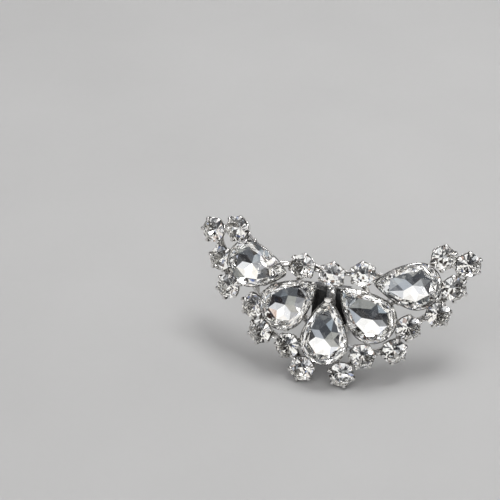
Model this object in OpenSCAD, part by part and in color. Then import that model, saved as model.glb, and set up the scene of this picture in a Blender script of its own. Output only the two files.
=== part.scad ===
// Shoe clip: a bent crescent of pear and round glass stones in soldered claw cups,
// with a bent strip clip on its back. It stands on its two lowest cups and the clip's tongue.

/* [Stones] */
// Diameter of a round stone
round_d = 5.25; // [4.8:0.05:5.3]
// Height of a round stone's crown above its girdle
round_crown = 0.8; // [0.5:0.05:0.9]
// Depth of a round stone's point below its girdle
round_depth = 2.1; // [1.8:0.05:2.2]
// Length of a pear stone
pear_l = 14; // [13:0.1:14.1]
// Width of a pear stone
pear_w = 10; // [9.2:0.1:10.1]
// Radius of a pear stone's tip
pear_tip_r = 0.9; // [0.6:0.1:1.2]
// Height of a pear stone's crown above its girdle
pear_crown = 1.6; // [1:0.05:1.8]
// Depth of a pear stone's point below its girdle
pear_depth = 3.3; // [2.6:0.05:3.4]

/* [Settings] */
// Height of the round stones' girdles above the frame's back
round_seat = 2.8; // [2.7:0.05:3]
// Height of the pear stones' girdles above the frame's back
pear_seat = 4.4; // [4.3:0.05:4.8]
// Thickness of a pear cup's wall
cup_wall = 0.3; // [0.25:0.05:0.35]
// Radius of a round cup's foot
cup_foot_r = 1.9; // [1.8:0.05:2]
// Gap between a stone and its metal
seat_gap = 0.05; // [0.03:0.01:0.08]
// Number of claws round a round stone
round_claws = 6; // [4:1:8]
// Width of a round stone's claw
round_claw_w = 0.6; // [0.4:0.05:0.8]
// Width of a pear stone's claw
pear_claw_w = 1.1; // [0.8:0.05:1.4]

/* [Frame] */
// Radius that the middle of the frame is bent to
bend_r = 48.5; // [46:0.5:56]
// Half of the width that is bent, beyond which the wings are straight
bend_half = 14; // [12:0.5:15]
// Thickness of a link between two cups
link_t = 0.45; // [0.3:0.05:0.45]

/* [Shoe clip] */
// Width of the clip's strip
clip_w = 8; // [6:0.5:8]
// Thickness of the clip's strip
clip_t = 0.8; // [0.6:0.1:1]
// Inner radius of the clip's bend
clip_bend_r = 0.9; // [0.8:0.1:1.2]
// Angle that the clip's jaw stands open
clip_open = 52; // [46:1:58]
// Gap between the clip's plate and the frame's back
clip_gap = 0.3; // [0.3:0.05:0.5]

/* [Stance] */
// Angle between the face and the table that it stands on
lean = 64; // [60:1:67]

/* [Hidden] */
NAME = 0;
ALONG = 1;
UP = 2;
TURN = 3;

// Pear stones: name, middle along the bend from the centre, height up the face, direction of the tip
pears = [
    ["pear_stone_left_end", -15.6, 9.7, -3],
    ["pear_stone_left", -7.7, 3.3, 42],
    ["pear_stone_middle", 0, -2.1, 90],
    ["pear_stone_right", 7.5, 3.1, 140],
    ["pear_stone_right_end", 15.1, 9.9, 179],
];

// Round stones: name, centre along the bend, height up the face, direction of the first claw
rounds = [
    ["round_stone_1", -27.8, 15.2, 3],
    ["round_stone_2", -22, 16.5, 14],
    ["round_stone_3", -25.3, 9.3, 50],
    ["round_stone_4", -22.9, 3.4, 20],
    ["round_stone_5", -16.3, 0.4, 40],
    ["round_stone_6", -14, -4.9, 20],
    ["round_stone_7", -7.6, -6.8, 5],
    ["round_stone_8", -4.1, -11.2, 12],
    ["round_stone_9", 4.1, -11.2, 48],
    ["round_stone_10", 7.9, -6.7, 10],
    ["round_stone_11", 14.2, -5, 25],
    ["round_stone_12", 16.6, 0.4, 32],
    ["round_stone_13", 22.6, 3.8, 15],
    ["round_stone_14", 25.3, 9.6, 40],
    ["round_stone_15", 27.8, 14.9, 42],
    ["round_stone_16", 22.3, 16, 37],
    ["round_stone_17", -6.2, 11, 20],
    ["round_stone_18", 0, 10.1, 27],
    ["round_stone_19", 6.2, 11, 40],
];

FROM = 0;
TO = 1;
WIDTH = 2;

// Links: the stones at both ends and the link's width
links = [
    ["round_stone_1", "round_stone_2", 1.2],
    ["round_stone_1", "round_stone_3", 1],
    ["round_stone_3", "round_stone_4", 1.4],
    ["round_stone_3", "pear_stone_left_end", 1.4],
    ["round_stone_2", "pear_stone_left_end", 1.4],
    ["round_stone_4", "pear_stone_left_end", 1.4],
    ["round_stone_5", "pear_stone_left_end", 1],
    ["round_stone_5", "round_stone_6", 1.2],
    ["round_stone_5", "pear_stone_left", 1.4],
    ["round_stone_6", "round_stone_7", 1.2],
    ["round_stone_7", "round_stone_8", 1.2],
    ["round_stone_7", "pear_stone_middle", 1.4],
    ["round_stone_8", "pear_stone_middle", 1.4],
    ["round_stone_9", "pear_stone_middle", 1.4],
    ["round_stone_10", "pear_stone_middle", 1.4],
    ["round_stone_9", "round_stone_10", 1.2],
    ["round_stone_10", "round_stone_11", 1.2],
    ["round_stone_11", "round_stone_12", 1.2],
    ["round_stone_12", "pear_stone_right", 1.4],
    ["round_stone_12", "round_stone_13", 1],
    ["round_stone_13", "pear_stone_right_end", 1.4],
    ["round_stone_13", "round_stone_14", 1.4],
    ["round_stone_14", "round_stone_15", 1],
    ["round_stone_15", "round_stone_16", 1.2],
    ["round_stone_16", "pear_stone_right_end", 1.4],
    ["round_stone_17", "round_stone_18", 1.2],
    ["round_stone_18", "round_stone_19", 1],
    ["round_stone_17", "pear_stone_left_end", 1],
    ["round_stone_17", "pear_stone_left", 1.2],
    ["round_stone_18", "pear_stone_middle", 2],
    ["round_stone_19", "pear_stone_right", 1.2],
    ["round_stone_19", "pear_stone_right_end", 1],
    ["pear_stone_left_end", "pear_stone_left", 1.6],
    ["pear_stone_left", "pear_stone_middle", 1.6],
    ["pear_stone_middle", "pear_stone_right", 1.6],
    ["pear_stone_right", "pear_stone_right_end", 1.6],
];

// Flat sides round a stone and its cup
ROUND_SIDES = 12;
PEAR_BUTT_STEPS = 6;
PEAR_SIDE_STEPS = 3;
LINK_SIDES = 6;
// Segments round the clip's bend and round its tongue's end
BEND_SIDES = 64;
TONGUE_SIDES = 32;
// Degrees in a radian
RAD = 180 / PI;

// How far a cut runs past the face that it opens
over = 0.3;

// Share of a stone's outline that its table spans, and half the thickness of its girdle
table_share = 0.55;
girdle_half = 0.1;

// A round cup: its rim lies just under the girdle, a little wider than the stone, round a conical pit
rim_width = 0.2;
pit_below_point = 0.1;
pit_edge_gap = 0.02;
round_rim_r = round_d / 2 + rim_width;
round_rim_z = round_seat - girdle_half - seat_gap;
round_pit_z = round_seat - round_depth - pit_below_point;
round_pit_h = round_rim_z - round_pit_z;
round_pit_r = round_d / 2 + seat_gap + pit_edge_gap;

// A pear cup: its floor, the height of its rim and of the seat that carries the stone
pear_floor = 0.6;
rim_above_girdle = 0.05;
pear_rim_z = pear_seat + rim_above_girdle;
pear_seat_z = pear_seat - girdle_half - seat_gap;
// Share of the stone's outline at the cup's foot, and in the hollow's floor and ledge
pear_foot_share = 0.5;
pear_hollow_share = 0.44;
pear_ledge_share = 0.88;
pear_ledge_drop = 0.4;
// Where a pear stone's claws stand: degrees round its butt, and the share along its side from the tip
pear_butt_claw = 130;
pear_side_claw = 0.4;

// A claw seen from the side, about the stone's edge: its root in the cup's wall, its inner and outer
// faces, how much it leans out, its thickness, and how far it folds over a round and a pear stone's crown
claw_root = 0.5;
claw_gap = 0.05;
claw_inner = seat_gap + claw_gap;
claw_outer = 0.28;
claw_lean = 0.1;
claw_t = 0.25;
round_claw_fold = 0.4;
pear_claw_fold = 0.8;

// The pear outline: a butt circle, two side arcs that leave it this far past its widest point, a round tip
pear_shoulder = 17;
butt_r = pear_w / 2;
tip_x = pear_l - butt_r - pear_tip_r;
side_q = (tip_x * tip_x - pow(butt_r - pear_tip_r, 2))
    / (2 * (tip_x * sin(pear_shoulder) - (butt_r - pear_tip_r))) * -1;
side_r = side_q + butt_r;
side_mid = [-side_q * sin(pear_shoulder), -side_q * cos(pear_shoulder)];
side_start = atan2(-side_mid[1], tip_x - side_mid[0]);
side_end = 90 - pear_shoulder;
// The butt circle's centre, measured from the middle of the stone
butt_x = (pear_w - pear_l) / 2;

// Height of the links' underside above the frame's back, and how far their ends lie from the cups' middles
link_z = 0.1;
link_inset = 1.2;

// The clip's plate lies on the frame's back, seen from the side as up and out
plate_low = -6;
plate_high = 5.5;
bend_mid_z = -clip_gap - clip_t - clip_bend_r;
bend_turn = 180 - clip_open;

// The piece stands on the feet of two cups: how far their lowest edge lies below the frame's centre
foot = stone_named("round_stone_8");
foot_sink = bend_r * (1 - cos(foot[ALONG] / bend_r * RAD));
lift = (cup_foot_r - foot[UP]) * sin(lean) + foot_sink * cos(lean);

// The tongue runs from the bend down to the table
tongue_slope = bend_turn - lean;
bend_height = lift + plate_high * sin(lean) + bend_mid_z * cos(lean);
strip_mid_r = clip_bend_r + clip_t / 2;
tongue_l = (bend_height + strip_mid_r * cos(tongue_slope) - clip_t / 2) / sin(tongue_slope);

// The middle of the whole from front to back lies over the origin
tongue_end_y = plate_high * cos(lean) - bend_mid_z * sin(lean) + strip_mid_r * sin(tongue_slope)
    + tongue_l * cos(tongue_slope) + clip_t / 2;
front_y = (foot[UP] - round_d / 2) * cos(lean) - (round_seat + claw_t) * sin(lean);
shift_y = -(tongue_end_y + front_y) / 2;

function arc(mid, r, from, to, steps) =
    [for (i = [0 : steps]) let (a = from + (to - from) * i / steps) mid + r * [cos(a), sin(a)]];

// One side of the pear from the tip to the butt, about the butt circle's centre
function pear_side() = concat(
    [[tip_x, 0] + pear_tip_r * [1, 0]],
    arc(side_mid, side_r, side_start, side_end, PEAR_SIDE_STEPS),
    [for (i = [1 : PEAR_BUTT_STEPS]) let (a = side_end + (180 - side_end) * i / PEAR_BUTT_STEPS)
        butt_r * [cos(a), sin(a)]]
);

function pear_outline() =
    let (side = pear_side(), n = len(side))
    concat(side, [for (i = [n - 2 : -1 : 1]) [side[i][0], -side[i][1]]]);

function round_outline() =
    [for (i = [0 : ROUND_SIDES - 1]) let (a = 360 * i / ROUND_SIDES) round_d / 2 * [cos(a), sin(a)]];

// An outline grown by a distance, taken as a share of its reach
function grown(outline, reach, by) = outline * ((reach + by) / reach);

// Closed solid through rings of equal point counts, each [outline, height]: its lower end runs to a point
// on the axis at the height that is given, or is flat
module loft(rings, point_z = undef) {
    n = len(rings[0][0]);
    last = len(rings) - 1;
    pointed = !is_undef(point_z);
    points = [for (ring = rings) for (p = ring[0]) [p[0], p[1], ring[1]]];
    walls = [for (k = [0 : last - 1]) for (i = [0 : n - 1]) let (j = (i + 1) % n)
        each [[k * n + i, (k + 1) * n + i, (k + 1) * n + j], [k * n + i, (k + 1) * n + j, k * n + j]]];
    low = pointed ? [for (i = [0 : n - 1]) [i, (i + 1) % n, len(points)]] : [[for (i = [0 : n - 1]) i]];
    high = [[for (i = [n - 1 : -1 : 0]) last * n + i]];
    polyhedron(concat(points, pointed ? [[0, 0, point_z]] : []), concat(walls, low, high));
}

// A cut stone about the middle of its girdle: a table, a crown, a girdle and a pavilion down to its point
module gem(outline, crown, depth, grow = 0) {
    full = grown(outline, max([for (p = outline) p[0]]), grow);
    loft([
        [full, -girdle_half - grow],
        [full, girdle_half + grow],
        [full * table_share, crown + grow],
    ], -depth - grow);
}

// Moves what follows to a place on the frame's bent back, its face outward
module on_back(along, up) {
    bent = min(abs(along), bend_half);
    translate([0, 0, -bend_r])
        rotate([0, sign(along) * bent / bend_r * RAD, 0])
        translate([along - sign(along) * bent, up, bend_r])
        children();
}

// Stands the piece on the table, leaning back on its clip
module standing() {
    translate([0, shift_y, lift])
        rotate([lean, 0, 0])
        children();
}

module round_gem(stone, grow = 0) {
    on_back(stone[ALONG], stone[UP])
        translate([0, 0, round_seat])
        gem(round_outline(), round_crown, round_depth, grow);
}

module pear_gem(stone, grow = 0) {
    on_back(stone[ALONG], stone[UP])
        rotate([0, 0, stone[TURN]])
        translate([butt_x, 0, pear_seat])
        gem(pear_outline(), pear_crown, pear_depth, grow);
}

module round_stone(stone) {
    color("lightcyan") standing() round_gem(stone);
}

module pear_stone(stone) {
    color("azure") standing() pear_gem(stone);
}

// Rise of a crown for each millimetre in from the stone's edge
function crown_slope(crown, edge_r) = (crown - girdle_half) / (edge_r * (1 - table_share));

// A claw out along +X from a stone's edge: it stands on the cup's wall and folds over the crown
module claw(width, seat, rim_z, fold, slope) {
    girdle_top = seat + girdle_half + seat_gap;
    tip_z = girdle_top + fold * slope;
    translate([0, width / 2, 0])
        rotate([90, 0, 0])
        linear_extrude(width)
        polygon([
            [0, rim_z - claw_root],
            [claw_outer - claw_lean, rim_z - claw_root],
            [claw_outer, girdle_top],
            [claw_lean - fold, tip_z + claw_t],
            [-fold, tip_z],
            [claw_inner, girdle_top],
        ]);
}

module round_cup(stone) {
    on_back(stone[ALONG], stone[UP]) {
        difference() {
            cylinder(h = round_rim_z, r1 = cup_foot_r, r2 = round_rim_r, $fn = ROUND_SIDES);
            translate([0, 0, round_pit_z])
                cylinder(h = round_pit_h + over, r1 = 0, r2 = round_pit_r * (1 + over / round_pit_h),
                    $fn = ROUND_SIDES);
        }
        for (i = [0 : round_claws - 1])
            rotate([0, 0, stone[TURN] + 360 * i / round_claws])
                translate([round_d / 2, 0, 0])
                claw(round_claw_w, round_seat, round_rim_z, round_claw_fold,
                    crown_slope(round_crown, round_d / 2));
    }
}

// A claw at a place on the pear's edge, about the butt circle's centre, facing along its normal
module pear_claw(place, facing) {
    edge_r = place * [cos(facing), sin(facing)];
    translate([place[0], place[1], 0])
        rotate([0, 0, facing])
        claw(pear_claw_w, pear_seat, pear_rim_z, pear_claw_fold, crown_slope(pear_crown, edge_r));
}

module pear_cup(stone) {
    outline = pear_outline();
    reach = max([for (p = outline) p[0]]);
    seat = grown(outline, reach, seat_gap);
    side_a = side_start + (side_end - side_start) * pear_side_claw;
    on_back(stone[ALONG], stone[UP])
        rotate([0, 0, stone[TURN]])
        translate([butt_x, 0, 0]) {
            difference() {
                loft([
                    [outline * pear_foot_share, 0],
                    [grown(outline, reach, seat_gap + cup_wall), pear_rim_z],
                ]);
                loft([
                    [outline * pear_hollow_share, pear_floor],
                    [outline * pear_ledge_share, pear_seat_z - pear_ledge_drop],
                    [seat, pear_seat_z],
                    [seat, pear_rim_z + over],
                ]);
            }
            for (side = [0, 1])
                mirror([0, side, 0]) {
                    pear_claw(butt_r * [cos(pear_butt_claw), sin(pear_butt_claw)], pear_butt_claw);
                    pear_claw(side_mid + side_r * [cos(side_a), sin(side_a)], side_a);
                }
        }
}

function stone_named(name) = [for (s = concat(pears, rounds)) if (s[NAME] == name) s][0];

// The middle of a stone's cup as along and up: a pear's is its butt circle's centre
function cup_middle(stone) = [stone[ALONG], stone[UP]]
    + (search([stone[NAME]], pears)[0] == [] ? 0 : butt_x) * [cos(stone[TURN]), sin(stone[TURN])];

// A link end: a small disc inside a cup's foot, on the side of the cup that the link leads to
module link_end(from, to, width) {
    place = from + link_inset * (to - from) / norm(to - from);
    on_back(place[0], place[1])
        translate([0, 0, link_z])
        cylinder(h = link_t, d = width, $fn = LINK_SIDES);
}

module link(row) {
    first = cup_middle(stone_named(row[FROM]));
    second = cup_middle(stone_named(row[TO]));
    hull() {
        link_end(first, second, row[WIDTH]);
        link_end(second, first, row[WIDTH]);
    }
}

module setting_frame() {
    color("silver") standing() {
        for (stone = rounds) round_cup(stone);
        for (stone = pears) pear_cup(stone);
        for (row = links) link(row);
    }
}

// The clip's strip seen from the side: up the face is +X, out of the face is +Y
module clip_side() {
    // The wedge that the bend turns through: it reaches past its outer face, and by a hair into both arms
    wedge_r = 2 * (clip_bend_r + clip_t);
    wedge_steps = 3;
    hair = 0.01;
    translate([plate_low, -clip_gap - clip_t]) square([plate_high - plate_low, clip_t]);
    translate([plate_high, bend_mid_z]) {
        intersection() {
            difference() {
                circle(r = clip_bend_r + clip_t, $fn = BEND_SIDES);
                circle(r = clip_bend_r, $fn = BEND_SIDES);
            }
            polygon(concat([[0, 0]], arc([0, 0], wedge_r, 90 + hair, 90 - bend_turn - hair, wedge_steps)));
        }
        rotate([0, 0, -bend_turn]) {
            translate([0, clip_bend_r]) square([tongue_l, clip_t]);
            translate([tongue_l, strip_mid_r]) circle(d = clip_t, $fn = TONGUE_SIDES);
        }
    }
}

module shoe_clip() {
    color("gainsboro") standing()
        rotate([90, 0, 90])
        translate([0, 0, -clip_w / 2])
        linear_extrude(clip_w) clip_side();
}

for (stone = pears) pear_stone(stone);
for (stone = rounds) round_stone(stone);
setting_frame();
shoe_clip();
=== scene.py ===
from math import atan2, cos, degrees, hypot, pi, radians, sin, tan

import bpy
import numpy as np
from mathutils import Matrix, Vector


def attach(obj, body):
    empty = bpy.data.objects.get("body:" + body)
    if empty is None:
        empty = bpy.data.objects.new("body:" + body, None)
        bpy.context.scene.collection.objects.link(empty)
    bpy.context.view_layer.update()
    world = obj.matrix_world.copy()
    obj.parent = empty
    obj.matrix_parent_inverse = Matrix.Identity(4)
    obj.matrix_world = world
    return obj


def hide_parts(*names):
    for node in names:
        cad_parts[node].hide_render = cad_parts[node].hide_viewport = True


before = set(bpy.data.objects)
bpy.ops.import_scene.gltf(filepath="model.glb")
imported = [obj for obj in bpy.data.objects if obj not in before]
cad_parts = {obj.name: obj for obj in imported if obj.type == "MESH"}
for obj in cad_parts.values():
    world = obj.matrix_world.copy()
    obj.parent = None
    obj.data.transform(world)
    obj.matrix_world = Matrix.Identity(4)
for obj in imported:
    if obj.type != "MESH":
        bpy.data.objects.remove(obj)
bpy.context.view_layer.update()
scene = bpy.context.scene

# All sizes in this script are millimetres, and meshes are scaled to metres as they are made
MM = 0.001

# The stones by their short names: round stones by number, pear stones by letter from left to right
ROUNDS = {str(i): f"round_stone_{i}" for i in range(1, 20)}
PEARS = {"a": "pear_stone_left_end", "b": "pear_stone_left", "c": "pear_stone_middle",
         "d": "pear_stone_right", "e": "pear_stone_right_end"}
STONES = {**ROUNDS, **PEARS}

# Height of the girdles above the frame's back, and half the height of a girdle
ROUND_BACK = 2.8
PEAR_BACK = 4.4
GIRDLE_HALF = 0.1


# Mesh tools

# A bar's corners are rounded by this share of what would fit, so that its points stay apart
CORNER_SHARE = 0.98
# Where a claw's points lie on its rounded end, in degrees
END_STEPS = [18, 36, 54, 72, 85]


def unit(vector):
    return vector / np.linalg.norm(vector)


def compass(angle):
    """The unit vector in a direction in degrees."""
    return np.array([cos(radians(angle)), sin(radians(angle))])


def moved(place, points):
    """Points after a 4 by 4 placement."""
    return np.array(points, float) @ place[:3, :3].T + place[:3, 3]


class Heap:
    """Points and faces of one piece, gathered shape by shape in millimetres."""

    def __init__(self):
        self.points, self.faces, self.marks = [], [], []

    def add(self, points, faces, place=None, marks=None):
        """Adds a shape. marks say which of the piece's materials each face has, the first if left out."""
        points = np.array(points, float) if place is None else moved(place, points)
        start = len(self.points)
        self.points.extend(points.tolist())
        self.faces.extend([start + i for i in face] for face in faces)
        self.marks.extend(marks or [0] * len(faces))

    def build(self, name, looks, smooth=None):
        """Makes the mesh object. smooth is the angle in degrees below which edges are rounded."""
        mesh = bpy.data.meshes.new(name)
        mesh.from_pydata((np.array(self.points) * MM).tolist(), [], self.faces)
        for look in looks:
            mesh.materials.append(look.made)
        mesh.polygons.foreach_set("material_index", self.marks)
        mesh.update()
        if smooth is not None:
            mesh.shade_smooth()
            mesh.set_sharp_from_angle(angle=radians(smooth))
        made = bpy.data.objects.new(name, mesh)
        scene.collection.objects.link(made)
        return made

    def piece(self, name, looks, replaces, slot, smooth=None):
        """Makes the visible piece that stands for CAD nodes."""
        made = self.build(name, looks, smooth)
        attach(made, "root")
        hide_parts(*replaces)


def skin(rings, low, high):
    """A skin over rings of equal point counts, closed by fans to a point at each end."""
    n = len(rings[0])
    points = [p for ring in rings for p in ring] + [low, high]
    faces = []
    for k in range(len(rings) - 1):
        for i in range(n):
            j = (i + 1) % n
            faces.append((k * n + i, k * n + j, (k + 1) * n + j, (k + 1) * n + i))
    last = (len(rings) - 1) * n
    for i in range(n):
        j = (i + 1) % n
        faces.append((j, i, len(points) - 2))
        faces.append((last + i, last + j, len(points) - 1))
    return points, faces


def section(half_w, half_t, corner, steps):
    """The points of a rounded rectangle, the width first."""
    r = CORNER_SHARE * min(corner, half_w, half_t)
    points = []
    for x, y, start in ((1, 1, 0), (-1, 1, 90), (-1, -1, 180), (1, -1, 270)):
        for i in range(steps + 1):
            a = radians(start + 90 * i / steps)
            points.append((x * (half_w - r) + r * cos(a), y * (half_t - r) + r * sin(a)))
    return np.array(points)


def sweep(path, half_w, half_t, side, corner, steps=3):
    """A bar along a path: its half width lies along side, its half thickness across."""
    path = np.array(path, float)
    n = len(path)
    heading = np.gradient(path, axis=0)
    rings = []
    for p, t, w, h in zip(path, heading, np.broadcast_to(half_w, n), np.broadcast_to(half_t, n)):
        t = unit(t)
        up = unit(np.cross(t, side))
        across = np.cross(up, t)
        offsets = section(w, h, corner, steps)
        rings.append(p + offsets[:, :1] * across + offsets[:, 1:] * up)
    return skin(rings, rings[0].mean(0), rings[-1].mean(0))


def curve_through(knots, steps=24):
    """A finely stepped smooth curve through the knots."""
    knots = np.array(knots, float)
    ends = np.vstack([2 * knots[0] - knots[1], knots, 2 * knots[-1] - knots[-2]])
    t = np.linspace(0, 1, steps, endpoint=False)[:, None]
    parts = []
    for a, b, c, d in zip(ends, ends[1:], ends[2:], ends[3:]):
        parts.append((2 * b + (c - a) * t + (2 * a - 5 * b + 4 * c - d) * t ** 2
                      + (3 * b - a - 3 * c + d) * t ** 3) / 2)
    return np.vstack(parts + [knots[-1:]])


def run_of(path):
    """How far along a path each of its points lies."""
    return np.concatenate([[0], np.cumsum(np.linalg.norm(np.diff(path, axis=0), axis=1))])


def stations(curve, count, tip_r):
    """Points along a curve, closer where its end rounds off: the points, how much of the full width is
    left at each, and how far along each lies, from 0 to 1."""
    run = run_of(curve)
    tip = run[-1] - tip_r * (1 - np.sin(np.radians(END_STEPS)))
    at = np.concatenate([np.linspace(0, run[-1] - tip_r, count), tip])
    left = np.sqrt(1 - np.clip((at - run[-1] + tip_r) / tip_r, 0, 1) ** 2)
    points = np.stack([np.interp(at, run, curve[:, i]) for i in range(3)], 1)
    return points, left, at / run[-1]


# Seats: where each stone of the frame sits

# Two normals count as the same when their dot product is above this
SAME_NORMAL = 0.9999


def seat_of(key):
    """A stone's place, read from its mesh: the middle of its girdle over its point, its table's normal
    as Z and its longest reach as X, with its crown's height and its point's depth."""
    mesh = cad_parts[STONES[key]].data
    mesh.calc_loop_triangles()
    normals = np.array([t.normal for t in mesh.loop_triangles])
    areas = np.array([t.area for t in mesh.loop_triangles])
    alike = normals @ normals.T > SAME_NORMAL
    out = normals[np.argmax(alike @ areas)]
    points = np.array([v.co for v in mesh.vertices]) / MM
    height = points @ out
    tip = points[np.argmin(height)]
    levels = np.unique(np.round(height, 3))
    girdle = (levels[1] + levels[2]) / 2
    middle = tip + (girdle - height.min()) * out
    flat = (points - middle) - np.outer((points - middle) @ out, out)
    reach = np.linalg.norm(flat, axis=1)
    along = unit(flat[np.argmax(reach)] if key in PEARS else flat[np.argmax(flat[:, 0])])
    across = np.cross(out, along)
    place = np.eye(4)
    place[:3] = np.stack([along, across, out, middle], 1)
    return {
        "place": place,
        "back": PEAR_BACK if key in PEARS else ROUND_BACK,
        "reach": reach.max(),
        "half_width": np.abs(flat @ across).max(),
        "crown": levels[-1] - girdle,
        "depth": girdle - levels[0],
    }


SEATS = {key: seat_of(key) for key in STONES}


def direction_to(seat, other):
    """Direction in degrees from one seat's middle to another's, in the first one's plane."""
    x, y, _ = (other["place"][:3, 3] - seat["place"][:3, 3]) @ seat["place"][:3, :3]
    return degrees(atan2(y, x))


# Outlines: a stone's edge as a table of directions and reaches from the middle of its cut

PEAR_TIP_R = 0.9
# How far before square to the pear's length its side arcs leave the butt circle
PEAR_SHOULDER = radians(17)
OUTLINE_STEPS = 720


def pear_edge(seat, steps=OUTLINE_STEPS):
    """Points of the pear's outline about its butt circle's centre: butt circle, side arcs and round tip."""
    butt_r = seat["half_width"]
    tip_x = seat["reach"] - PEAR_TIP_R
    narrow = butt_r - PEAR_TIP_R
    side_q = (narrow ** 2 - tip_x ** 2) / (2 * (tip_x * sin(PEAR_SHOULDER) - narrow))
    side_r = side_q + butt_r
    side_mid = np.array([-side_q * sin(PEAR_SHOULDER), -side_q * cos(PEAR_SHOULDER)])
    start = atan2(-side_mid[1], tip_x - side_mid[0])
    end = pi / 2 - PEAR_SHOULDER
    half = []
    for a in np.linspace(0, start, steps // 8, endpoint=False):
        half.append((tip_x + PEAR_TIP_R * cos(a), PEAR_TIP_R * sin(a)))
    for a in np.linspace(start, end, steps // 4, endpoint=False):
        half.append((side_mid[0] + side_r * cos(a), side_mid[1] + side_r * sin(a)))
    for a in np.linspace(end, pi, steps // 4):
        half.append((butt_r * cos(a), butt_r * sin(a)))
    return np.array(half + [(x, -y) for x, y in half[-2:0:-1]])


def round_edge(seat):
    """Points of a round stone's outline."""
    turns = np.linspace(0, 2 * pi, OUTLINE_STEPS, endpoint=False)
    return np.array([[cos(a), sin(a)] for a in turns]) * seat["reach"]


def edge_from(outline, centre):
    """A function from a direction in degrees to the outline's point in that direction from the centre."""
    offset = outline - centre
    turn = np.degrees(np.unwrap(np.arctan2(offset[:, 1], offset[:, 0])))
    reach = np.linalg.norm(offset, axis=1)
    order = np.argsort(turn % 360)
    turn, reach = (turn % 360)[order], reach[order]

    def at(angle, share=1.0):
        return centre + np.interp(angle % 360, turn, reach, period=360) * share * compass(angle)

    return at


# Cuts

# The marks of a stone's faces, in the order of its materials
CLEAR, FOILED = 0, 1
# Least and most that the meets of a crown's facets fall, as shares of the crown's height
LEAST_FALL, MOST_FALL = 0.2, 0.6


def on_plane(a, b, c, xy):
    """The height of the plane through three points at a place."""
    normal = np.cross(np.subtract(b, a), np.subtract(c, a))
    return a[2] - (normal[0] * (xy[0] - a[0]) + normal[1] * (xy[1] - a[1])) / normal[2]


def spot(ring, k, quarters):
    """The girdle point so many quarters past a main."""
    return ring[(4 * k + quarters) % len(ring)]


class Gem:
    """A gem cut about a culet. Its main facets lie in given directions, and its girdle has four points to
    each of them."""

    def __init__(self, at, mains, culet):
        self.at, self.mains, self.culet = at, mains, culet
        self.count = len(mains)
        self.gaps = [(mains[(k + 1) % self.count] - mains[k]) % 360 for k in range(self.count)]
        self.points, self.faces, self.marks = [], [], []

    def add(self, xy, z):
        self.points.append((xy[0], xy[1], z))
        return len(self.points) - 1

    def face(self, mark, *corners):
        self.faces.append(corners)
        self.marks.append(mark)

    def between(self, k, quarters):
        """The direction so many quarters of the way from one main to the next."""
        return self.mains[k] + self.gaps[k] * quarters / 4

    def girdle(self, z):
        return [self.add(self.at(self.between(k, q)), z) for k in range(self.count) for q in range(4)]

    def level(self, moving, a, b, c):
        """Puts a girdle point on the plane of its facet."""
        x, y, _ = self.points[moving]
        self.points[moving] = (x, y, on_plane(self.points[a], self.points[b], self.points[c], (x, y)))

    def cut_front(self, cut, height):
        """A table, stars, kites, girdle facets and the girdle itself. Returns the girdle's lower ring."""
        n = self.count
        top = [self.add(self.at(a, share), height) for a, share in zip(self.mains, cut["table"])]
        high = self.girdle(GIRDLE_HALF)
        middle = []
        for k in range(n):
            xy = self.at(self.between(k, 2), cut["crown_mid"][k])
            inner = (cut["table"][k] + cut["table"][(k + 1) % n]) / 2
            inward = np.linalg.norm(xy - self.culet) * cos(radians(self.gaps[k] / 2))
            fall = (inward / np.linalg.norm(self.at(self.mains[k]) - self.culet) - inner) / (1 - inner)
            fall = min(max(cut["crown_drop"] * fall, LEAST_FALL), MOST_FALL)
            middle.append(self.add(xy, height - (height - GIRDLE_HALF) * fall))
        low = self.girdle(-GIRDLE_HALF)
        self.face(CLEAR, *top)
        for k in range(n):
            j = (k + 1) % n
            for q in (1, 3):
                self.level(spot(high, k, q), middle[k], spot(high, k, q - 1), spot(high, k, q + 1))
            self.face(CLEAR, top[k], middle[k], top[j])
            self.face(CLEAR, top[j], middle[k], spot(high, j, 0))
            self.face(CLEAR, top[k], spot(high, k, 0), middle[k])
            for q in range(4):
                self.face(CLEAR, middle[k], spot(high, k, q), spot(high, k, q + 1))
        for q in range(4 * n):
            self.face(CLEAR, high[q], low[q], spot(low, 0, q + 1), spot(high, 0, q + 1))
        return low

    def cut_plain_back(self, low, depth):
        """Plain facets from the point to the girdle."""
        point = self.add(self.culet, -depth)
        for k in range(self.count):
            for q in range(1, 4):
                self.level(spot(low, k, q), point, spot(low, k, 0), spot(low, k, 4))
            self.face(FOILED, point, *[spot(low, k, q) for q in range(4, -1, -1)])

    def cut_stepped_back(self, low, depth, steps):
        """Two shallow steps of triangles about the point, and a steep ring of facets outside them. Each
        step's ring is turned half a facet from the one inside it, and its height follows from its slope."""
        n = self.count
        point = self.add(self.culet, -depth)
        rings, reach_before, rise = [], np.zeros(n), np.zeros(n)
        for step, (share, slope) in enumerate(steps):
            turns = [self.between(k, 2 * (step % 2)) for k in range(n)]
            spots = [self.at(a, part) for a, part in zip(turns, share)]
            reach = np.array([np.linalg.norm(xy - self.culet) for xy in spots])
            if step:
                reach_before = (reach_before + np.roll(reach_before, -1)) / 2
                rise = (rise + np.roll(rise, -1)) / 2
            rise = rise + (reach - reach_before) * tan(radians(slope))
            rings.append([self.add(xy, -depth + z) for xy, z in zip(spots, rise)])
            reach_before = reach
        first, second = rings
        for k in range(n):
            j = (k + 1) % n
            self.face(FOILED, point, first[j], first[k])
            self.face(FOILED, first[k], first[j], second[k])
            self.face(FOILED, second[k], first[j], second[j])
            for q in (1, 3):
                self.level(spot(low, k, q), second[k], spot(low, k, q - 1), spot(low, k, q + 1))
            self.face(FOILED, second[k], second[j], spot(low, j, 0))
            for q in range(4):
                self.face(FOILED, second[k], spot(low, k, q + 1), spot(low, k, q))


# Materials. Spots are given as how many to a millimetre, their detail, and how they are stretched

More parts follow.
